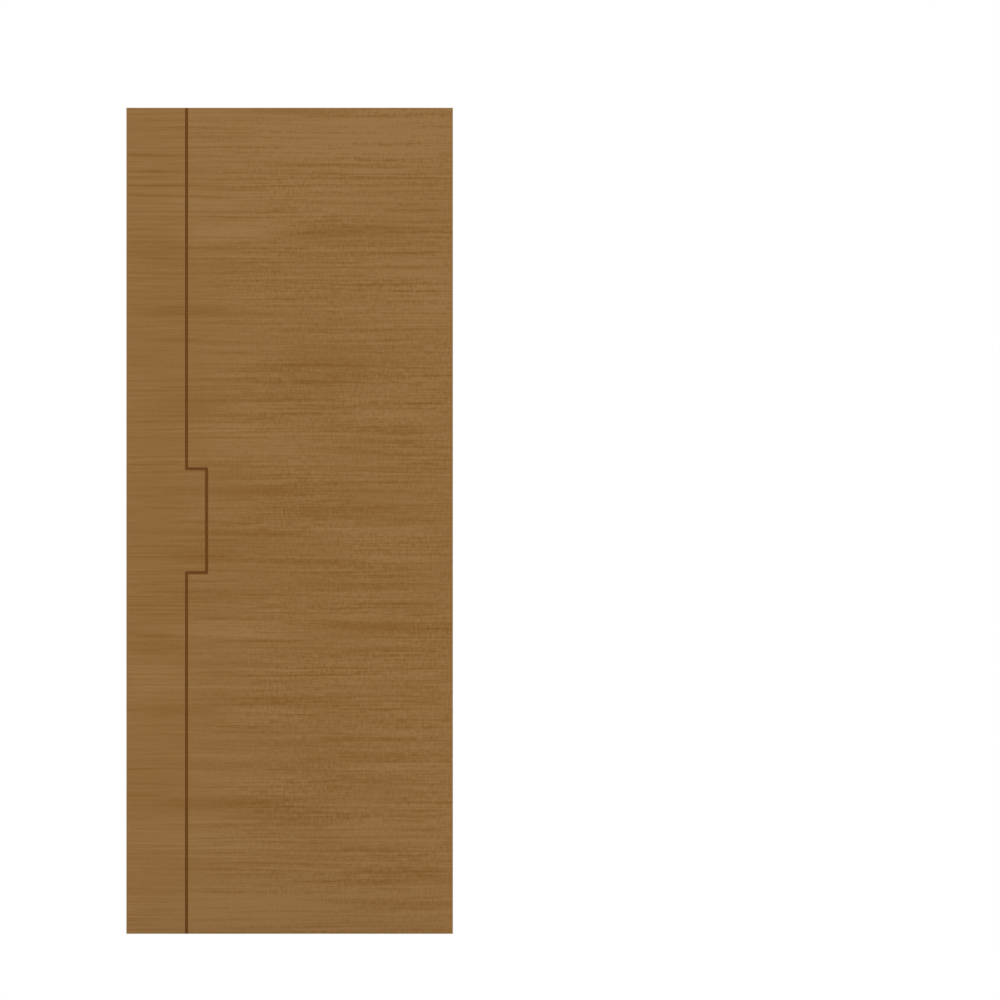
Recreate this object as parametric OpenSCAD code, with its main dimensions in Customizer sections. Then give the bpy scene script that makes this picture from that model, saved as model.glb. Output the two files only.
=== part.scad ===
// Flush interior door leaf. Two melamine-faced fibreboards are glued over a softwood frame
// and a tubular chipboard core, and one stepped groove is routed down each face.
// The origin is at the foot of the hinge edge, at mid thickness. +X points out of the hinge
// edge, -Y out of the front face and +Z up. Lengths are in millimetres.

/* [Leaf] */
// Width of the leaf over both edge bands
leaf_w = 830; // [620:5:1000]
// Height of the leaf
leaf_h = 2100; // [1900:5:2400]
// Thickness of the leaf over both faces
leaf_t = 40; // [36:1:50]

/* [Face boards] */
// Thickness of each face board with its melamine
face_board_t = 6; // [5:0.5:7]
// Thickness of the melamine sheet on a face board
melamine_t = 0.3; // [0.2:0.1:0.6]

/* [Groove] */
// Diameter of the round-nosed cutter that makes the groove
cutter_d = 8; // [7:0.5:12]
// Depth of the groove below the face
groove_d = 2.5; // [1.5:0.5:3.5]
// From the lock edge to the middle of the groove, above and below the step
groove_inset = 153; // [110:1:200]
// How far the groove steps towards the hinges beside the handle
step_w = 51; // [30:1:90]
// Height of the step
step_h = 264; // [150:2:500]
// Height of the handle line, the middle of the step, above the foot
handle_z = 1050; // [900:5:1150]

/* [Frame] */
// Width of each stile
stile_w = 45; // [30:1:70]
// Height of the top and bottom rails
rail_h = 60; // [40:1:120]
// Width of the block that takes the lock
lock_block_w = 110; // [80:1:200]
// Height of the block that takes the lock
lock_block_h = 420; // [300:5:600]

/* [Core] */
// Diameter of the tubes in the chipboard
tube_d = 20; // [14:0.5:21]
// Distance between the middles of two tubes
tube_pitch = 26; // [25:0.5:40]
// Least chipboard left beside the first and last tube
core_edge = 4; // [3:0.5:12]

/* [Edge bands] */
// Thickness of the band on each long edge
band_t = 2; // [1.5:0.1:3]
// Rounding of a band's two long corners
band_r = 1.5; // [0.5:0.1:1.5]

/* [Hidden] */
$fn = 48;

// Across the leaf, from the lock edge at -leaf_w to the hinge edge at 0
board_lock_x = -leaf_w + band_t;
board_hinge_x = -band_t;
core_lock_x = board_lock_x + stile_w;
core_hinge_x = board_hinge_x - stile_w;
block_hinge_x = core_lock_x + lock_block_w;
first_tube_x = core_hinge_x - core_edge - tube_d / 2;

// Through the leaf
frame_t = leaf_t - 2 * face_board_t;
fibre_t = face_board_t - melamine_t;

// Up the leaf
core_foot_z = rail_h;
core_head_z = leaf_h - rail_h;
block_foot_z = handle_z - lock_block_h / 2;
block_head_z = handle_z + lock_block_h / 2;

// How far a cut runs on past the piece that it opens
run_off = 10;

// The groove's middle line up a face, from foot to head, as [x, z] points
groove_x = -leaf_w + groove_inset;
step_x = groove_x + step_w;
step_foot_z = handle_z - step_h / 2;
step_head_z = handle_z + step_h / 2;
groove_path = [
    [groove_x, -run_off],
    [groove_x, step_foot_z],
    [step_x, step_foot_z],
    [step_x, step_head_z],
    [groove_x, step_head_z],
    [groove_x, leaf_h + run_off]
];

// Height over the mid plane of the middle of the cutter's round nose, in the front face
nose_y = -leaf_t / 2 + groove_d - cutter_d / 2;

// One straight pass of the cutter from one [x, z] point to the next
module cutter_pass(from, to) {
    run = to - from;
    translate([from[0], nose_y, from[1]])
        rotate([0, 90 - atan2(run[1], run[0]), 0])
            cylinder(d = cutter_d, h = norm(run));
}

// All that the cutter takes out of the front face, with its round nose at each turn
module groove_cut() {
    for (i = [1 : len(groove_path) - 1])
        cutter_pass(groove_path[i - 1], groove_path[i]);
    for (i = [1 : len(groove_path) - 2])
        translate([groove_path[i][0], nose_y, groove_path[i][1]])
            sphere(d = cutter_d);
}

// A timber of the frame between two [x, z] corners
module frame_timber(low, high) {
    color("burlywood")
        translate([low[0], -frame_t / 2, low[1]])
            cube([high[0] - low[0], frame_t, high[1] - low[1]]);
}

module lock_stile() {
    frame_timber([board_lock_x, 0], [core_lock_x, leaf_h]);
}

module hinge_stile() {
    frame_timber([core_hinge_x, 0], [board_hinge_x, leaf_h]);
}

module top_rail() {
    frame_timber([core_lock_x, core_head_z], [core_hinge_x, leaf_h]);
}

module bottom_rail() {
    frame_timber([core_lock_x, 0], [core_hinge_x, core_foot_z]);
}

module lock_block() {
    frame_timber([core_lock_x, block_foot_z], [block_hinge_x, block_head_z]);
}

// A slab of extruded chipboard between two [x, z] corners, with a row of upright tubes. The
// row starts at the hinge stile, so the tubes run on in line from one slab to the next.
module tubular_slab(low, high) {
    width = high[0] - low[0];
    height = high[1] - low[1];
    steps = floor((width - 2 * core_edge - tube_d) / tube_pitch);
    color("tan")
        difference() {
            translate([low[0], -frame_t / 2, low[1]])
                cube([width, frame_t, height]);
            for (i = [0 : steps])
                translate([first_tube_x - i * tube_pitch, 0, low[1] - run_off])
                    cylinder(d = tube_d, h = height + 2 * run_off);
        }
}

module upper_core() {
    tubular_slab([core_lock_x, block_head_z], [core_hinge_x, core_head_z]);
}

module middle_core() {
    tubular_slab([block_hinge_x, block_foot_z], [core_hinge_x, block_head_z]);
}

module lower_core() {
    tubular_slab([core_lock_x, core_foot_z], [core_hinge_x, block_foot_z]);
}

// A face between the two edge bands, as an outline in X and Z
module face_outline() {
    translate([board_lock_x, 0])
        square([board_hinge_x - board_lock_x, leaf_h]);
}

// The part of a face on the lock side of the groove's middle line
module lock_side_outline() {
    intersection() {
        face_outline();
        polygon(concat(groove_path, [
            [board_lock_x, leaf_h + run_off],
            [board_lock_x, -run_off]
        ]));
    }
}

// The part of a face on the hinge side of the groove's middle line
module hinge_side_outline() {
    difference() {
        face_outline();
        lock_side_outline();
    }
}

// A layer of the front face with the groove cut into it. Its outline is the child, and its
// outer side lies at the given depth below the face.
module front_layer(depth, thickness) {
    difference() {
        translate([0, -leaf_t / 2 + depth + thickness, 0])
            rotate([90, 0, 0])
                linear_extrude(thickness)
                    children();
        groove_cut();
    }
}

module front_face_board() {
    color([0.41, 0.27, 0.12])
        front_layer(melamine_t, fibre_t) face_outline();
}

module back_face_board() {
    mirror([0, 1, 0]) front_face_board();
}

module front_melamine_lock_side() {
    color([0.56, 0.42, 0.25])
        front_layer(0, melamine_t) lock_side_outline();
}

module front_melamine_hinge_side() {
    color([0.56, 0.42, 0.25])
        front_layer(0, melamine_t) hinge_side_outline();
}

module back_melamine_lock_side() {
    mirror([0, 1, 0]) front_melamine_lock_side();
}

module back_melamine_hinge_side() {
    mirror([0, 1, 0]) front_melamine_hinge_side();
}

// What rounding a band's corner at [0, 0] takes off it, as an outline in X and Y
module corner_waste() {
    difference() {
        translate([-band_r, 0]) square(band_r);
        translate([-band_r, band_r]) circle(r = band_r);
    }
}

// The band on the hinge edge, with its two outer corners rounded
module hinge_edge_band() {
    color([0.53, 0.39, 0.22])
        linear_extrude(leaf_h)
            difference() {
                translate([-band_t, -leaf_t / 2]) square([band_t, leaf_t]);
                translate([0, -leaf_t / 2]) corner_waste();
                translate([0, leaf_t / 2]) mirror([0, 1]) corner_waste();
            }
}

module lock_edge_band() {
    translate([-leaf_w, 0, 0])
        mirror([1, 0, 0]) hinge_edge_band();
}

lock_stile();
hinge_stile();
top_rail();
bottom_rail();
lock_block();
upper_core();
middle_core();
lower_core();
front_face_board();
back_face_board();
front_melamine_lock_side();
front_melamine_hinge_side();
back_melamine_lock_side();
back_melamine_hinge_side();
lock_edge_band();
hinge_edge_band();
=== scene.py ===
"""A flush interior door leaf with melamine faces, dressed for rendering around its CAD model.

The leaf hangs on its right edge. X runs across it from the lock edge (negative) to the hinge
edge (zero), Y runs through it from front to back, and Z runs up it. Lengths are in metres.
"""

import bmesh
import bpy
import numpy as np
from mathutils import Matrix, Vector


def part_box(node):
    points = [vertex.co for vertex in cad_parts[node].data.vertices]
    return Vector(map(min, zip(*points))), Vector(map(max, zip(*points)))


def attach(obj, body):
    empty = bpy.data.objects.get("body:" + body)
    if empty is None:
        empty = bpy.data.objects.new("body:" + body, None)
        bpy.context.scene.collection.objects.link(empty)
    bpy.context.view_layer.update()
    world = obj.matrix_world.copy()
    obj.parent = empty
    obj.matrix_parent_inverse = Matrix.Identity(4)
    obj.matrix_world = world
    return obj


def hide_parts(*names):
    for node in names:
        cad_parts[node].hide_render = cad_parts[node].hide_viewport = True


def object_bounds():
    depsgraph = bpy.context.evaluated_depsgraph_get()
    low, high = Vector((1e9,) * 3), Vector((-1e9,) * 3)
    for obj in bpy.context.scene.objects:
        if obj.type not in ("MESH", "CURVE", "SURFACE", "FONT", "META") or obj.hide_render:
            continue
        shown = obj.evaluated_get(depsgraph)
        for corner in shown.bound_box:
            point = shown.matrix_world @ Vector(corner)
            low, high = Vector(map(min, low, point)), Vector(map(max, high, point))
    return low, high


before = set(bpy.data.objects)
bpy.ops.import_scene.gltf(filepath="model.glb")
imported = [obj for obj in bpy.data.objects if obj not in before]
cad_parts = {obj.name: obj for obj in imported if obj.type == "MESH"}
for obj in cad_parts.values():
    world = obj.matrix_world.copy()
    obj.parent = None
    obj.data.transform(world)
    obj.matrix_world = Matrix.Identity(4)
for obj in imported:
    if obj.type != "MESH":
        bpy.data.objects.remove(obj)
CAD_LOW, CAD_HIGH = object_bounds()

# Sizes of the groove and the layers, as the leaf's makers would give them
MM = 0.001
CUTTER_R = 4 * MM
GROOVE_D = 2.5 * MM
GROOVE_INSET = 153 * MM
STEP_W = 51 * MM
STEP_H = 264 * MM
HANDLE_Z = 1050 * MM
MELAMINE_T = 0.3 * MM
BAND_R = 1.5 * MM

# The eased edge of the melamine beside the groove, and the glue line that shows at the head
ARRIS = 0.12 * MM
GLUE_T = 0.15 * MM

# How much a pore, a glue line and the late part of a growth ring change the tone
PORE_TONE = -0.5
GLUE_TONE = -0.5
LATE_TONE = -0.7

# The decor, which the faces and the bands share: its two end colours and its pores' depth
DECOR_DARK = "7D5317"
DECOR_PALE = "936E3D"
PORE_D = 0.03 * MM

# A face's decor is calm over about this width beside the lock edge, and its flecks are this
# faint there
CALM_W = 190 * MM
CALM = 0.2

# Where a noise starts to make a dash, and where the dash is full
DASH_FAINT = 0.6
DASH_FULL = 0.72

# A mark, of the print or of painted light, fades out at this many times its half length and half
# height
MARK_RIM = 1.3

# The thickness of a growth ring, how late it turns dark, and the width of a chip
RING_T = 3.2 * MM
LATE_POWER = 2.5
CHIP_W = 5 * MM

# In millimetres, a noise's cell so long through the leaf that both faces look alike
THROUGH = 400

# A scale so large that a place along its axis counts for nothing
FAR = 1e6

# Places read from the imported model
LOCK_X, HINGE_X = CAD_LOW[0], CAD_HIGH[0]
MID_X = (LOCK_X + HINGE_X) / 2
FOOT_Z, HEAD_Z = CAD_LOW[2], CAD_HIGH[2]
LEAF_H = HEAD_Z - FOOT_Z
HALF_T = (CAD_HIGH[1] - CAD_LOW[1]) / 2
BOARD_LOCK_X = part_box("front_face_board")[0][0]
BOARD_HINGE_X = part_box("front_face_board")[1][0]
BOARD_DEPTH = HALF_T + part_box("front_face_board")[1][1]
FRAME_HALF_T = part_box("lock_stile")[1][1]

# How finely round forms are divided, and the least angle of an edge that stays crisp
NOSE_STEPS = 20
TURN_STEPS = 14
ARRIS_STEPS = 4
CORNER_STEPS = 8
SHARP = np.radians(30)

# How far from a turn the groove's legs start to be shaded as straight
TURN_REACH = 2 * CUTTER_R

# Places in a piece's list of materials: its own, and the groove's lacquer on a routed one
OWN = 0
LACQUERED = 1

# The photograph's frame, in pixels, and how far in front of it the camera stands, in metres
IMAGE_SIDE_PX = 1000
LEAF_LEFT_PX = 126.4
LEAF_TOP_PX = 107.8
LEAF_FOOT_PX = 933.8
CAMERA_AWAY = 4.0

# The strength of the world's light and of each lamp's, and a lamp's width in degrees
SKY_LIGHT = 0.75
LAMP_LIGHT = 0.75
LAMP_WIDTH = 30

# In metres from the leaf, where the floor starts to turn white, where it is white, and its rim
FLOOR_NEAR = 1.0
FLOOR_FAR = 4.0
FLOOR_HALF = 12.0


def linear(hex_colour):
    """The linear RGBA of an sRGB hex colour such as 8D693E."""
    srgb = np.array([int(hex_colour[i:i + 2], 16) for i in (0, 2, 4)]) / 255
    rgb = np.where(srgb <= 0.04045, srgb / 12.92, ((srgb + 0.055) / 1.055) ** 2.4)
    return (*rgb.tolist(), 1.0)


def add_node(tree, kind, inputs=(), **settings):
    """Adds a node with its settings, and sets each input to a value or links it to a socket."""
    node = tree.nodes.new(kind)
    for name, value in settings.items():
        setattr(node, name, value)
    for name, value in dict(inputs).items():
        if isinstance(value, bpy.types.NodeSocket):
            tree.links.new(value, node.inputs[name])
        else:
            node.inputs[name].default_value = value
    return node


def new_material(name):
    """An empty material, its node tree, and the socket with each point's place on the leaf."""
    material = bpy.data.materials.new(name)
    material.use_nodes = True
    tree = material.node_tree
    tree.nodes.clear()
    return material, tree, add_node(tree, "ShaderNodeTexCoord").outputs["Object"]


def grain(tree, place, size_mm, detail=1, roughness=0.5):
    """Noise from 0 to 1 whose cells measure size_mm along X, Y and Z."""
    cells = add_node(tree, "ShaderNodeMapping", {
        "Vector": place, "Scale": [1 / (size * MM) for size in size_mm],
    })
    noise = add_node(tree, "ShaderNodeTexNoise", {
        "Vector": cells.outputs[0], "Scale": 1.0, "Detail": detail, "Roughness": roughness,
    })
    return noise.outputs[0]


def layered(tree, middle, layers):
    """The sum of a middle value and each layer's noise, which swings about zero by its amount."""
    total = middle - sum(amount for _, amount in layers) / 2
    for noise, amount in layers:
        total = add_node(tree, "ShaderNodeMath", {0: noise, 1: amount, 2: total},
                         operation="MULTIPLY_ADD").outputs[0]
    return total


def finish(tree, tone, dark, pale, height, depth, roughness, sheen):
    """Ends a material: colour from the tone, relief from the height, and gloss.

    The colour goes from dark to pale as the tone goes from 0 to 1. The relief is the height
    times the depth. The gloss has the given roughness, and its strength is the sheen.
    """
    colour = add_node(tree, "ShaderNodeMapRange", {
        "Vector": tone, "To Min": linear(dark)[:3], "To Max": linear(pale)[:3],
    }, data_type="FLOAT_VECTOR")
    relief = add_node(tree, "ShaderNodeBump", {"Height": height, "Distance": depth})
    surface = add_node(tree, "ShaderNodeBsdfPrincipled", {
        "Base Color": colour.outputs["Vector"], "Normal": relief.outputs[0],
        "Roughness": roughness, "IOR": 1.5, "Specular IOR Level": sheen,
    })
    add_node(tree, "ShaderNodeOutputMaterial", {"Surface": surface.outputs[0]})


# Marks of the printed grain that the eye picks out, and after them three broad marks, two of
# which are painted light. Each has its middle, from the lock edge and above the foot, its half
# length and half height, in millimetres, and its tone, where minus is dark.
MARKS_AND_PAINTED_LIGHT = [
    (430, 2090, 200, 10, -0.30),
    (50, 1980, 170, 5, -0.50),
    (70, 1940, 150, 5, -0.35),
    (90, 1903, 210, 5, -0.50),
    (120, 1876, 200, 5, -0.45),
    (520, 1955, 240, 5, -0.40),
    (560, 1903, 240, 7, -0.34),
    (300, 1870, 450, 70, 0.10),
    (560, 1785, 260, 28, -0.26),
    (80, 1745, 110, 46, -0.17),
    (150, 1582, 170, 20, -0.34),
    (120, 1510, 100, 5, -0.35),
    (500, 1435, 250, 75, -0.19),
    (500, 1446, 200, 5, -0.50),
    (470, 1405, 140, 5, -0.45),
    (450, 1360, 150, 5, -0.40),
    (160, 1340, 130, 50, -0.15),
    (380, 1125, 420, 16, -0.27),
    (520, 1075, 240, 26, -0.20),
    (260, 1020, 280, 12, -0.24),
    (180, 958, 130, 26, -0.26),
    (480, 945, 180, 10, -0.29),
    (470, 887, 120, 10, -0.24),
    (700, 838, 150, 5, -0.35),
    (670, 780, 290, 16, -0.38),
    (300, 742, 140, 4, -0.35),
    (80, 738, 110, 34, -0.17),
    (150, 572, 170, 18, -0.24),
    (430, 590, 230, 20, -0.24),
    (560, 470, 320, 70, -0.14),
    (230, 335, 300, 22, -0.32),
    (430, 300, 230, 24, -0.29),
    (690, 145, 260, 28, -0.32),
    (700, 75, 260, 16, -0.26),
    (640, 2030, 420, 90, 0.24),
    (260, 1785, 190, 24, 0.26),
    (770, 1640, 170, 130, 0.20),
    (360, 1230, 260, 70, 0.14),
    (290, 768, 240, 32, 0.29),
    (60, 645, 130, 50, 0.22),
    (160, 250, 250, 60, 0.22),
    (300, 70, 260, 50, 0.29),
    # Painted light: the upper part of the face made lighter, as if lit from above
    (400, 2030, 700, 300, 0.13),
    # Darker over the middle of the face
    (430, 880, 800, 520, -0.07),
    # Painted light: the foot made lighter, to offset the shade from the floor beside it
    (400, 20, 700, 180, 0.21),
]


def marks_and_painted_light(tree, place):
    """Sums the marks of print and painted light, each strongest in its middle, gone at its rim."""
    total = 0.0
    for x_mm, z_mm, half_length, half_height, tone in MARKS_AND_PAINTED_LIGHT:
        near = add_node(tree, "ShaderNodeMapping", {
            "Vector": place,
            "Location": (LOCK_X + x_mm * MM, 0, FOOT_Z + z_mm * MM),
            "Scale": (half_length * MM, FAR, half_height * MM),
        }, vector_type="TEXTURE")
        reach = add_node(tree, "ShaderNodeVectorMath", {0: near.outputs[0]}, operation="LENGTH")
        mark = add_node(tree, "ShaderNodeMapRange", {
            "Value": reach.outputs["Value"], "From Min": MARK_RIM, "From Max": 0.0,
            "To Min": 0.0, "To Max": tone,
        }, interpolation_type="SMOOTHERSTEP")
        total = add_node(tree, "ShaderNodeMath", {0: mark.outputs[0], 1: total},
                         operation="ADD").outputs[0]
    return total


def with_dashes(tree, tone, place, size_mm, change):
    """Dashes, which are the few highest places of a noise, and the tone changed by them."""
    dashes = add_node(tree, "ShaderNodeMapRange", {
        "Value": grain(tree, place, size_mm), "From Min": DASH_FAINT, "From Max": DASH_FULL,
    }).outputs[0]
    changed = add_node(tree, "ShaderNodeMath", {0: dashes, 1: change, 2: tone},
                       operation="MULTIPLY_ADD")
    return dashes, changed.outputs[0]


def melamine_print():
    """Melamine-faced board: decor paper printed with a crosswise wood grain, under clear resin.

    The print gives dark and pale streaks along X, a few strong ones among many faint ones, with
    short flecks away from the lock side and fine dark pores. The resin is satin, and the pores
    are pressed into it, so its sheen is a little broken.

    A real print's lines are too fine for the render, where a pixel is 2.5 mm. So the streaks,
    flecks and dashes are drawn 3 mm thick and more, as coarse as they need to be to show. The
    pores keep their own size, and show only close up.
    """
    material, tree, place = new_material("melamine_wood_print")
    drift = layered(tree, 0.0, [
        (grain(tree, place, (420, THROUGH, 90)), 13 * MM),
        (grain(tree, place, (110, THROUGH, 26)), 1.5 * MM),
    ])
    wavy = add_node(tree, "ShaderNodeVectorMath", {
        0: place,
        1: add_node(tree, "ShaderNodeCombineXYZ", {"Z": drift}).outputs[0],
    }, operation="ADD").outputs[0]

    across = add_node(tree, "ShaderNodeSeparateXYZ", {0: place}).outputs["X"]
    lively = add_node(tree, "ShaderNodeMapRange", {
        "Value": across, "From Min": LOCK_X + CALM_W / 2, "From Max": LOCK_X + 2 * CALM_W,
        "To Min": CALM, "To Max": 1.0,
    }).outputs[0]
    streaks = grain(tree, wavy, (380, THROUGH, 6.5))
    swing = layered(tree, 0.0, [
        (streaks, 1.3),
        (grain(tree, wavy, (240, THROUGH, 10)), 0.2),
    ])
    flecks = layered(tree, 0.0, [
        (grain(tree, place, (36, THROUGH, 4)), 0.8),
        (grain(tree, place, (6, THROUGH, 14)), 1.0),
    ])
    swing = add_node(tree, "ShaderNodeMath", {0: flecks, 1: lively, 2: swing},
                     operation="MULTIPLY_ADD").outputs[0]
    strength = layered(tree, 0.8, [
        (lively, 0.55),
        (grain(tree, place, (300, THROUGH, 90)), 2.4),
    ])
    tone = layered(tree, 0.64, [
        (grain(tree, wavy, (600, THROUGH, 16), detail=2), 0.15),
        (grain(tree, wavy, (330, THROUGH, 70), detail=2), 0.2),
    ])
    tone = add_node(tree, "ShaderNodeMath", {0: swing, 1: strength, 2: tone},
                    operation="MULTIPLY_ADD").outputs[0]
    # The marks add the print's own marks and the painted light at the head and the foot
    tone = add_node(tree, "ShaderNodeMath", {
        0: marks_and_painted_light(tree, wavy), 1: layered(tree, 1.0, [(streaks, 1.6)]), 2: tone,
    }, operation="MULTIPLY_ADD").outputs[0]

    _, tone = with_dashes(tree, tone, wavy, (220, THROUGH, 4), -0.4)
    _, tone = with_dashes(tree, tone, wavy, (150, THROUGH, 3), 0.3)
    pores, tone = with_dashes(tree, tone, wavy, (12, THROUGH, 0.6), PORE_TONE)
    finish(tree, tone, DECOR_DARK, DECOR_PALE, pores, -PORE_D, roughness=0.5, sheen=0.2)
    return material


def groove_lacquer():
    """Brown lacquer sprayed into the routed groove: the cut fibres soak it up, so it is dull."""
    material, tree, place = new_material("brown_groove_lacquer")
    fibres = grain(tree, place, (0.8, 0.8, 0.8), detail=3)
    finish(tree, fibres, "643C0C", "724818", fibres, 0.04 * MM, roughness=0.6, sheen=0.15)
    return material


def glued(tree, place, tone):
    """tone, darkened where glue lies between the frame and a face board, or along a band."""
    spot = add_node(tree, "ShaderNodeSeparateXYZ", {0: place})
    for axis, middle, joint in (
        ("Y", 0.0, FRAME_HALF_T),
        ("X", MID_X, (BOARD_HINGE_X - BOARD_LOCK_X) / 2),
    ):
        out = add_node(tree, "ShaderNodeMath", {0: spot.outputs[axis], 1: middle},
                       operation="SUBTRACT")
        out = add_node(tree, "ShaderNodeMath", {0: out.outputs[0]}, operation="ABSOLUTE")
        glue = add_node(tree, "ShaderNodeMath", {0: out.outputs[0], 1: joint, 2: GLUE_T},
                        operation="COMPARE")
        tone = add_node(tree, "ShaderNodeMath", {0: glue.outputs[0], 1: GLUE_TONE, 2: tone},
                        operation="MULTIPLY_ADD").outputs[0]
    return tone


def sawn_fibreboard():
    """Medium-density fibreboard, sawn through: even tan felted fibres with no grain, dull."""
    material, tree, place = new_material("sawn_fibreboard")
    fibres = grain(tree, place, (1.6, 0.5, 1.6), detail=3, roughness=0.7)
    tone = layered(tree, 0.5, [
        (fibres, 1.4),
        (grain(tree, place, (60, 9, 60), detail=2), 0.6),
    ])
    tone = glued(tree, place, tone)
    finish(tree, tone, "947450", "C0A078", fibres, 0.08 * MM, roughness=0.9, sheen=0.2)
    return material


def lengthwise(along, length, width):
    """A size for each of X, Y and Z: the length along a timber, and the width on the others."""
    return [length if axis == along else width for axis in "XYZ"]


def sawn_pine(name, along, heart):
    """Softwood: growth rings round the tree's heart, which lies outside the timber.

    A ring is the distance from a line that runs along the timber, so the same rings show as arcs
    on its ends and as long lines on its sides. Each has a wide pale early part and a thin dark
    late part.
    """
    material, tree, place = new_material(name)
    middle = add_node(tree, "ShaderNodeMapping", {
        "Vector": place, "Location": heart, "Scale": lengthwise(along, FAR, 1.0),
    }, vector_type="TEXTURE")
    radius = add_node(tree, "ShaderNodeVectorMath", {0: middle.outputs[0]}, operation="LENGTH")
    wobble = grain(tree, place, lengthwise(along, 500, 25), detail=2)
    ring = add_node(tree, "ShaderNodeMath", {
        0: radius.outputs["Value"], 1: 1 / RING_T,
        2: layered(tree, 0.0, [(wobble, 3.0)]),
    }, operation="MULTIPLY_ADD")
    ring = add_node(tree, "ShaderNodeMath", {0: ring.outputs[0]}, operation="FRACT")
    late = add_node(tree, "ShaderNodeMath", {0: ring.outputs[0], 1: LATE_POWER},
                    operation="POWER")
    fibres = grain(tree, place, lengthwise(along, 40, 0.6), detail=2, roughness=0.6)
    tone = layered(tree, 0.85, [(fibres, 0.7)])
    tone = add_node(tree, "ShaderNodeMath", {0: late.outputs[0], 1: LATE_TONE, 2: tone},
                    operation="MULTIPLY_ADD").outputs[0]
    tone = glued(tree, place, tone)
    finish(tree, tone, "A87842", "E2BE86", fibres, 0.06 * MM, roughness=0.75, sheen=0.3)
    return material


def extruded_chipboard():
    """Extruded chipboard: flat pine chips in resin, so it is mottled in small tan patches."""
    material, tree, place = new_material("extruded_chipboard")
    chips = add_node(tree, "ShaderNodeTexVoronoi", {"Vector": place, "Scale": 1 / CHIP_W})
    chip = add_node(tree, "ShaderNodeSeparateXYZ", {0: chips.outputs["Color"]}).outputs[0]
    finish(tree, chip, "9A7446", "D0AC78", chip, 0.3 * MM, roughness=0.85, sheen=0.2)
    return material


def band_print():
    """Extruded ABS band, printed with the decor lengthwise: straight streaks along Z, satin."""
    material, tree, place = new_material("abs_band_wood_print")
    tone = layered(tree, 0.58, [
        (grain(tree, place, (2.4, 2.4, 260), detail=3, roughness=0.6), 1.6),
        (grain(tree, place, (12, 12, 420), detail=2), 0.8),
    ])
    pores, tone = with_dashes(tree, tone, place, (0.6, 0.6, 12), PORE_TONE)
    finish(tree, tone, DECOR_DARK, DECOR_PALE, pores, -PORE_D, roughness=0.45, sheen=0.25)
    return material


def groove_middle():
    """The groove's middle line up a face, from foot to head, as rows of X and Z."""
    groove_x = LOCK_X + GROOVE_INSET
    step_x = groove_x + STEP_W
    step_foot, step_head = HANDLE_Z - STEP_H / 2, HANDLE_Z + STEP_H / 2
    return np.array([
        [groove_x, FOOT_Z],
        [groove_x, step_foot],
        [step_x, step_foot],
        [step_x, step_head],
        [groove_x, step_head],
        [groove_x, HEAD_Z],
    ])


def beside_groove(offsets):
    """Lines that run beside the groove's middle line, one for each offset towards the lock edge.

    At a turn, a line on the outer side swings round the turn on a circle with its offset as the
    radius, and a line on the inner side goes to the mitre, the sum of the two legs' offsets. A
    station TURN_REACH before and after the turn keeps the turn's shading off the long legs.
    Returns an array of offsets by stations by [X, Z].
    """
    path = groove_middle()
    legs = np.diff(path, axis=0)
    legs /= np.linalg.norm(legs, axis=1, keepdims=True)
    across = np.stack([-legs[:, 1], legs[:, 0]], axis=1)
    before, after = across[:-1, None], across[1:, None]
    turn = legs[:-1, 0] * legs[1:, 1] - legs[:-1, 1] * legs[1:, 0]
    swing = np.linspace(0, np.pi / 2, TURN_STEPS + 1)[None, :, None]
    circle = before * np.cos(swing) + after * np.sin(swing)
    mitre = np.broadcast_to(before + after, circle.shape)
    offsets = np.asarray(offsets)[:, None, None, None]
    outer = offsets * turn[None, :, None, None] < 0
    corners = path[None, 1:-1, None]
    turns = np.concatenate([
        corners - TURN_REACH * legs[None, :-1, None] + offsets * before,
        corners + offsets * np.where(outer, circle[None], mitre[None]),
        corners + TURN_REACH * legs[None, 1:, None] + offsets * after,
    ], axis=2).reshape(len(offsets), -1, 2)
    first = path[0] + offsets[:, 0, 0] * across[0]
    last = path[-1] + offsets[:, 0, 0] * across[-1]
    return np.concatenate([first[:, None], turns, last[:, None]], axis=1)


def half_width(depth):
    """Half the groove's width at a depth below the face, from the circle of the cutter's nose."""
    return np.sqrt(CUTTER_R ** 2 - (CUTTER_R - GROOVE_D + depth) ** 2)


def on_face(points, depth, side):
    """Points given as [X, Z], set at a depth below the front (side -1) or back (side 1) face."""
    points = np.asarray(points, float)
    y = np.broadcast_to(side * (HALF_T - np.asarray(depth, float)), points.shape[:-1])
    return np.stack([points[..., 0], y, points[..., 1]], axis=-1)


def make_piece(name, points, faces, materials, node):
    """A closed mesh from points and faces, in place of a CAD node.

    Each face is its corners, its material's place in materials, and whether it is curved.
    Points that meet are merged, and then all faces are turned outwards. Edges sharper than
    SHARP are kept crisp, or the shading of a flat end would run far along a curved side.
    """
    mesh = bpy.data.meshes.new(name)
    mesh.from_pydata(points.tolist(), [], [list(corners) for corners, _, _ in faces])
    mesh.polygons.foreach_set("material_index", [index for _, index, _ in faces])
    mesh.polygons.foreach_set("use_smooth", [curved for _, _, curved in faces])
    for material in materials:
        mesh.materials.append(material)
    shape = bmesh.new()
    shape.from_mesh(mesh)
    bmesh.ops.remove_doubles(shape, verts=shape.verts, dist=1e-7)
    bmesh.ops.recalc_face_normals(shape, faces=shape.faces)
    shape.to_mesh(mesh)
    shape.free()
    mesh.set_sharp_from_angle(angle=SHARP)
    piece = bpy.data.objects.new(name, mesh)
    bpy.context.scene.collection.objects.link(piece)
    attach(piece, "root")
    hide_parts(node)


def grid_faces(rows, columns, material, closed=False):
    """The quads of a grid of points stored row by row, closed round each row if asked."""
    start = np.arange(columns if closed else columns - 1)
    after = (start + 1) % columns
    row = np.arange(rows - 1)[:, None] * columns
    quads = np.stack([row + start, row + after, row + columns + after, row + columns + start], -1)
    return [(quad, material, True) for quad in quads.reshape(-1, 4).tolist()]


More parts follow.
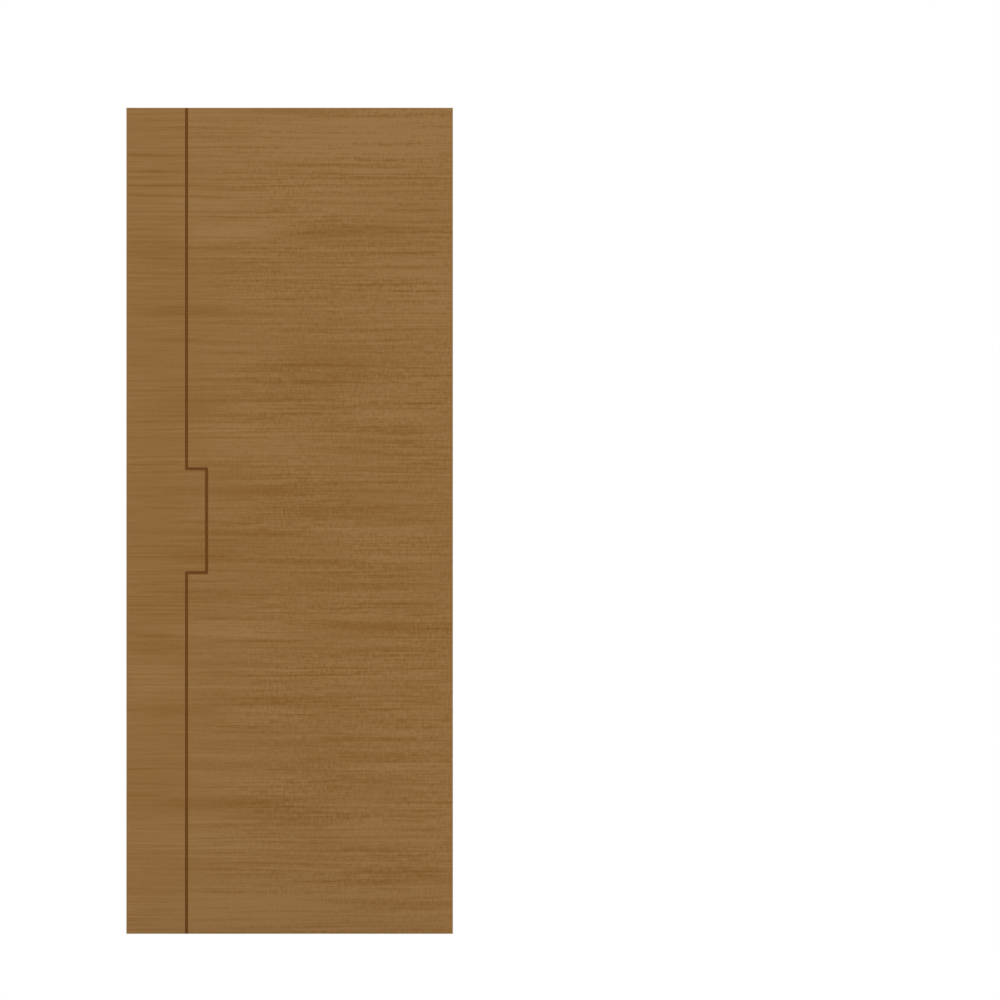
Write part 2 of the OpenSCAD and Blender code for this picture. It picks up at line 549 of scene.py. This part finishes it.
def melamine_sheet(node, side, towards, outer_x, materials):
    """One sheet of decor laminate, between the groove and a long edge of the leaf.

    Its outline is lofted from the face down to the fibreboard. Beside the groove it follows the
    cutter's circle, with the arris at the top eased by a quarter of an ellipse.
    """
    ease = np.linspace(0, np.pi / 2, ARRIS_STEPS + 1)
    arris_w = half_width(0) - half_width(ARRIS) + ARRIS
    arris_offset = half_width(ARRIS) + arris_w * (1 - np.sin(ease))
    depth = np.append(ARRIS * (1 - np.cos(ease)), MELAMINE_T)
    offset = np.append(arris_offset, half_width(MELAMINE_T))
    lips = beside_groove(towards * offset)
    ends = np.broadcast_to(np.array([[outer_x, HEAD_Z], [outer_x, FOOT_Z]]), (len(depth), 2, 2))
    outlines = np.concatenate([lips, ends], axis=1)
    rows, columns = outlines.shape[:2]
    points = on_face(outlines, depth[:, None], side).reshape(-1, 3)
    faces = grid_faces(rows, columns, LACQUERED, closed=True)
    faces.append((range(columns), OWN, False))
    faces.append((range((rows - 1) * columns, rows * columns), OWN, False))
    make_piece(node + "_decor", points, faces, materials, node)


def face_board(node, side, materials):
    """One fibreboard with the groove, a circle of the cutter's nose carried up its path."""
    widest = np.arcsin(half_width(MELAMINE_T) / CUTTER_R)
    nose = np.linspace(widest, -widest, NOSE_STEPS + 1)
    groove = beside_groove(CUTTER_R * np.sin(nose))
    columns, stations = groove.shape[:2]
    depth = CUTTER_R * np.cos(nose) - (CUTTER_R - GROOVE_D)
    outline = np.array([
        [BOARD_LOCK_X, FOOT_Z],
        [BOARD_LOCK_X, HEAD_Z],
        [BOARD_HINGE_X, HEAD_Z],
        [BOARD_HINGE_X, FOOT_Z],
    ])
    points = np.concatenate([
        on_face(groove, depth[:, None], side).reshape(-1, 3),
        on_face(outline, MELAMINE_T, side),
        on_face(outline, BOARD_DEPTH, side),
    ])
    grid = np.arange(columns * stations).reshape(columns, stations)
    lock_foot, lock_head, hinge_head, hinge_foot = range(grid.size, grid.size + 4)
    in_lock_foot, in_lock_head, in_hinge_head, in_hinge_foot = range(grid.size + 4, grid.size + 8)
    faces = grid_faces(columns, stations, LACQUERED)
    flat = [
        [*grid[0], lock_head, lock_foot],
        [*grid[-1], hinge_head, hinge_foot],
        [*grid[:, 0], hinge_foot, in_hinge_foot, in_lock_foot, lock_foot],
        [*grid[:, -1], hinge_head, in_hinge_head, in_lock_head, lock_head],
        [lock_foot, lock_head, in_lock_head, in_lock_foot],
        [hinge_foot, hinge_head, in_hinge_head, in_hinge_foot],
        [in_lock_foot, in_lock_head, in_hinge_head, in_hinge_foot],
    ]
    faces += [([int(corner) for corner in corners], OWN, False) for corners in flat]
    make_piece(node + "_routed", points, faces, materials, node)


def edge_band(node, inner_x, outer_x, materials):
    """A plastic band: its section, a strip with two quarter-round corners, carried up the leaf."""
    outward = np.sign(outer_x - inner_x)
    turn = np.linspace(0, np.pi / 2, CORNER_STEPS + 1)
    corner_x = outer_x - outward * BAND_R * (1 - np.sin(turn))
    corner_y = HALF_T - BAND_R * (1 - np.cos(turn))
    section = np.concatenate([
        [[inner_x, HALF_T]],
        np.stack([corner_x, corner_y], -1),
        np.stack([corner_x, -corner_y], -1)[::-1],
        [[inner_x, -HALF_T]],
    ])
    columns = len(section)
    heights = np.array([FOOT_Z, HEAD_Z])
    points = np.concatenate([
        np.broadcast_to(section, (2, columns, 2)),
        np.broadcast_to(heights[:, None, None], (2, columns, 1)),
    ], axis=-1).reshape(-1, 3)
    flat_sides = (0, CORNER_STEPS + 1, columns - 2, columns - 1)
    faces = [(corners, OWN, index not in flat_sides)
             for index, (corners, _, _) in enumerate(grid_faces(2, columns, OWN, closed=True))]
    faces.append((range(columns), OWN, False))
    faces.append((range(columns, 2 * columns), OWN, False))
    make_piece(node + "_rounded", points, faces, materials, node)


def leaf_camera():
    """A camera straight in front of the leaf, with no perspective, framed as the photograph is."""
    metres_per_px = LEAF_H / (LEAF_FOOT_PX - LEAF_TOP_PX)
    data = bpy.data.cameras.new("front_view")
    data.type = "ORTHO"
    data.ortho_scale = IMAGE_SIDE_PX * metres_per_px
    camera = bpy.data.objects.new("front_view", data)
    camera.location = (
        LOCK_X + (IMAGE_SIDE_PX / 2 - LEAF_LEFT_PX) * metres_per_px,
        -CAMERA_AWAY,
        FOOT_Z + (LEAF_FOOT_PX - IMAGE_SIDE_PX / 2) * metres_per_px,
    )
    camera.rotation_euler = (np.pi / 2, 0, 0)
    bpy.context.scene.collection.objects.link(camera)
    bpy.context.scene.camera = camera


def seen_by_eye(tree):
    """1 where a ray comes straight from the camera, off a gloss or through glass, and else 0."""
    rays = add_node(tree, "ShaderNodeLightPath")
    seen = rays.outputs["Is Camera Ray"]
    for kind in ("Is Glossy Ray", "Is Transmission Ray"):
        seen = add_node(tree, "ShaderNodeMath", {0: seen, 1: rays.outputs[kind]},
                        operation="MAXIMUM").outputs[0]
    return seen


def white_surround():
    """A plain world that looks white, and lights the leaf evenly from all round."""
    world = bpy.data.worlds.new("white_surround")
    world.use_nodes = True
    tree = world.node_tree
    tree.nodes.clear()
    strength = add_node(tree, "ShaderNodeMapRange", {
        "Value": seen_by_eye(tree), "To Min": SKY_LIGHT, "To Max": 1.0,
    })
    light = add_node(tree, "ShaderNodeBackground", {
        "Color": linear("FFFFFF"), "Strength": strength.outputs[0],
    })
    add_node(tree, "ShaderNodeOutputWorld", {"Surface": light.outputs[0]})
    bpy.context.scene.world = world


def soft_lamp(name, azimuth, elevation):
    """A far lamp as wide as a studio softbox, so all of the leaf and the floor get the same."""
    data = bpy.data.lights.new(name, "SUN")
    data.energy = LAMP_LIGHT
    data.angle = np.radians(LAMP_WIDTH)
    lamp = bpy.data.objects.new(name, data)
    lamp.rotation_euler = (np.radians(90 - elevation), 0, np.radians(azimuth))
    bpy.context.scene.collection.objects.link(lamp)


def pale_floor():
    """A matt pale floor. Away from the leaf the eye sees it turn white, so no horizon shows."""
    material, tree, place = new_material("pale_floor")
    matt = add_node(tree, "ShaderNodeBsdfDiffuse", {"Color": linear("F5F4F2")})
    white = add_node(tree, "ShaderNodeEmission", {"Color": linear("FFFFFF"), "Strength": 1.0})
    near = add_node(tree, "ShaderNodeMapping", {
        "Vector": place, "Location": (MID_X, 0, FOOT_Z),
    }, vector_type="TEXTURE")
    reach = add_node(tree, "ShaderNodeVectorMath", {0: near.outputs[0]}, operation="LENGTH")
    fade = add_node(tree, "ShaderNodeMapRange", {
        "Value": reach.outputs["Value"], "From Min": FLOOR_NEAR, "From Max": FLOOR_FAR,
    }, interpolation_type="SMOOTHERSTEP")
    fade = add_node(tree, "ShaderNodeMath", {0: fade.outputs[0], 1: seen_by_eye(tree)},
                    operation="MULTIPLY")
    surface = add_node(tree, "ShaderNodeMixShader", {
        0: fade.outputs[0], 1: matt.outputs[0], 2: white.outputs[0],
    })
    add_node(tree, "ShaderNodeOutputMaterial", {"Surface": surface.outputs[0]})

    corners = np.array([[-1, -1], [1, -1], [1, 1], [-1, 1]]) * FLOOR_HALF
    mesh = bpy.data.meshes.new("floor")
    mesh.from_pydata([(x, y, FOOT_Z) for x, y in corners.tolist()], [], [(0, 1, 2, 3)])
    mesh.materials.append(material)
    floor = bpy.data.objects.new("floor", mesh)
    bpy.context.scene.collection.objects.link(floor)


bpy.context.scene.view_settings.view_transform = "Standard"
leaf_camera()
white_surround()
soft_lamp("front_lamp", azimuth=-15, elevation=25)
soft_lamp("back_lamp", azimuth=165, elevation=25)
pale_floor()

decor, lacquer = melamine_print(), groove_lacquer()
fibreboard, band, chipboard = sawn_fibreboard(), band_print(), extruded_chipboard()
for face, side in (("front", -1), ("back", 1)):
    face_board(f"{face}_face_board", side, [fibreboard, lacquer])
    melamine_sheet(f"{face}_melamine_lock_side", side, 1, BOARD_LOCK_X, [decor, lacquer])
    melamine_sheet(f"{face}_melamine_hinge_side", side, -1, BOARD_HINGE_X, [decor, lacquer])
edge_band("lock_edge_band", BOARD_LOCK_X, LOCK_X, [band])
edge_band("hinge_edge_band", BOARD_HINGE_X, HINGE_X, [band])

# Each timber's long axis, and the heart of its tree
PINE = {
    "lock_stile": ("Z", (LOCK_X + 10 * MM, 52 * MM, 0)),
    "hinge_stile": ("Z", (HINGE_X - 40 * MM, -60 * MM, 0)),
    "top_rail": ("X", (0, 45 * MM, HEAD_Z - 20 * MM)),
    "bottom_rail": ("X", (0, -50 * MM, FOOT_Z + 15 * MM)),
    "lock_block": ("Z", (LOCK_X + 100 * MM, 70 * MM, 0)),
}
for node, (along, heart) in PINE.items():
    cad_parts[node].data.materials[0] = sawn_pine("pine_" + node, along, heart)
for node in ("upper_core", "middle_core", "lower_core"):
    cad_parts[node].data.materials[0] = chipboard
